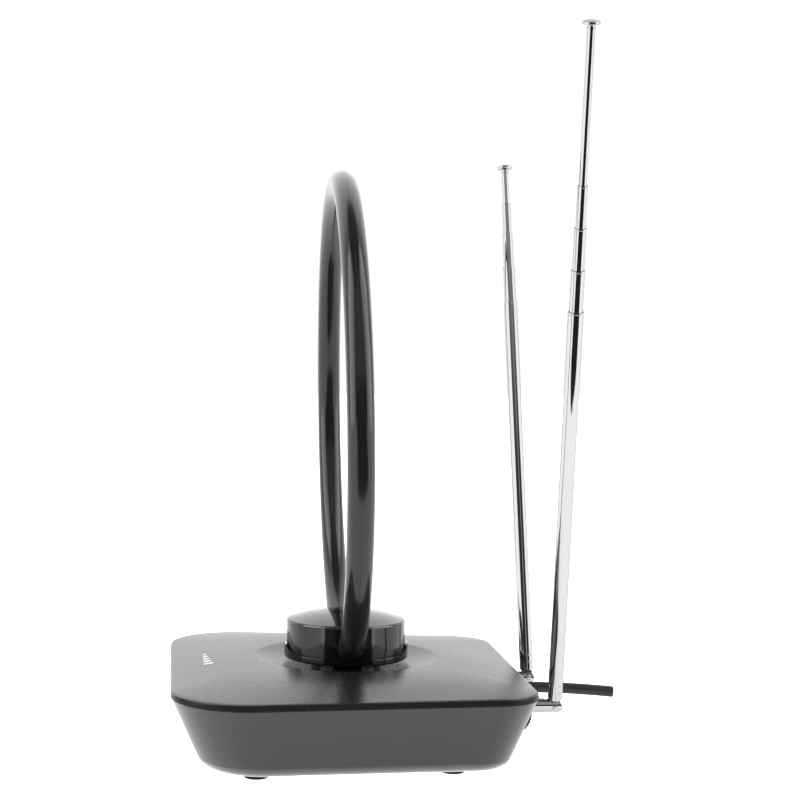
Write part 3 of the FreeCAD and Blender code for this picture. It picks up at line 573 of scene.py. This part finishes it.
def hidden_card(name, corners, colour, glow):
    """A flat card on the table that only reflections and light see."""
    mesh = bpy.data.meshes.new(name)
    mesh.from_pydata([(x, y, CARD_Z) for x, y in corners], [], [tuple(range(len(corners)))])
    card = bpy.data.objects.new(name, mesh)
    bpy.context.scene.collection.objects.link(card)
    shader = Shader(name, colour, 1.0)
    shader.surface.inputs["Specular IOR Level"].default_value = 0.0
    shader.surface.inputs["Emission Color"].default_value = (1, 1, 1, 1)
    shader.surface.inputs["Emission Strength"].default_value = glow
    mesh.materials.append(shader.material)
    card.visible_camera = False
    card.visible_shadow = False
    return card


def make_cards():
    """The unlit floor past the table's edge, seen only by mirrors, and the lit table under the tray."""
    dark_corners = [(reach, DARK_FLOOR_Y + side * reach * DARK_FLOOR_SPREAD)
                    for reach, side in ((TABLE_EDGE, -1), (FLOOR_END, -1), (FLOOR_END, 1), (TABLE_EDGE, 1))]
    hidden_card("dark_floor", dark_corners, (0.02, 0.02, 0.02), 0.0).visible_diffuse = False
    hidden_card("under_light", outline(UNDER_INSET), (0.8, 0.8, 0.8), UNDER_GLOW)


def make_world():
    """White to the camera. Mirrors see a dark room behind the camera, side softboxes and a backdrop."""
    world = bpy.data.worlds.new("studio")
    world.use_nodes = True
    tree = world.node_tree
    background = tree.nodes["Background"]

    def add(kind, **settings):
        node = tree.nodes.new(kind)
        for name, value in settings.items():
            setattr(node, name, value)
        return node

    direction = add("ShaderNodeSeparateXYZ")
    tree.links.new(add("ShaderNodeTexCoord").outputs["Generated"], direction.inputs[0])
    around = add("ShaderNodeMath", operation="ARCTAN2")
    tree.links.new(direction.outputs["Y"], around.inputs[0])
    tree.links.new(direction.outputs["X"], around.inputs[1])
    turn = add("ShaderNodeMath", operation="ABSOLUTE")
    tree.links.new(around.outputs[0], turn.inputs[0])
    share = add("ShaderNodeMath", operation="DIVIDE")
    tree.links.new(turn.outputs[0], share.inputs[0])
    share.inputs[1].default_value = math.pi
    walls = add("ShaderNodeValToRGB")
    fill_ramp(walls.color_ramp, ROOM_WALLS)
    tree.links.new(share.outputs[0], walls.inputs[0])
    height = add("ShaderNodeMapRange", interpolation_type="SMOOTHSTEP")
    height.inputs["From Min"].default_value = math.sin(math.radians(CEILING_ANGLE - CEILING_BLEND))
    height.inputs["From Max"].default_value = math.sin(math.radians(CEILING_ANGLE + CEILING_BLEND))
    tree.links.new(direction.outputs["Z"], height.inputs["Value"])
    haze = add("ShaderNodeMapRange", interpolation_type="SMOOTHSTEP")
    haze.inputs["From Min"].default_value = math.sin(math.radians(HAZE_ANGLES[0]))
    haze.inputs["From Max"].default_value = math.sin(math.radians(HAZE_ANGLES[1]))
    haze.inputs["To Max"].default_value = HAZE_LEVEL
    tree.links.new(direction.outputs["Z"], haze.inputs["Value"])
    lit_walls = add("ShaderNodeVectorMath", operation="MAXIMUM")
    tree.links.new(walls.outputs["Color"], lit_walls.inputs[0])
    tree.links.new(haze.outputs["Result"], lit_walls.inputs[1])
    room = add("ShaderNodeMix", data_type="RGBA")
    tree.links.new(height.outputs["Result"], room.inputs["Factor"])
    tree.links.new(lit_walls.outputs["Vector"], room.inputs["A"])
    room.inputs["B"].default_value = (CEILING_LEVEL, CEILING_LEVEL, CEILING_LEVEL, 1)
    seen = add("ShaderNodeMix", data_type="RGBA")
    seen.inputs["B"].default_value = (1, 1, 1, 1)
    tree.links.new(add("ShaderNodeLightPath").outputs["Is Camera Ray"], seen.inputs["Factor"])
    scaled = add("ShaderNodeVectorMath", operation="SCALE")
    scaled.inputs["Scale"].default_value = SOFTBOX_LEVEL
    tree.links.new(room.outputs["Result"], scaled.inputs[0])
    tree.links.new(scaled.outputs["Vector"], seen.inputs["A"])
    tree.links.new(seen.outputs["Result"], background.inputs["Color"])
    bpy.context.scene.world = world


dress_frame()
printed_mark(cover_shell())
loop_shell("loop_front_half", -1, "loop_front_shell")
loop_shell("loop_rear_half", 1, "loop_rear_shell")
make_camera()
make_floor()
make_world()
make_cards()
bpy.context.scene.view_settings.view_transform = "Standard"
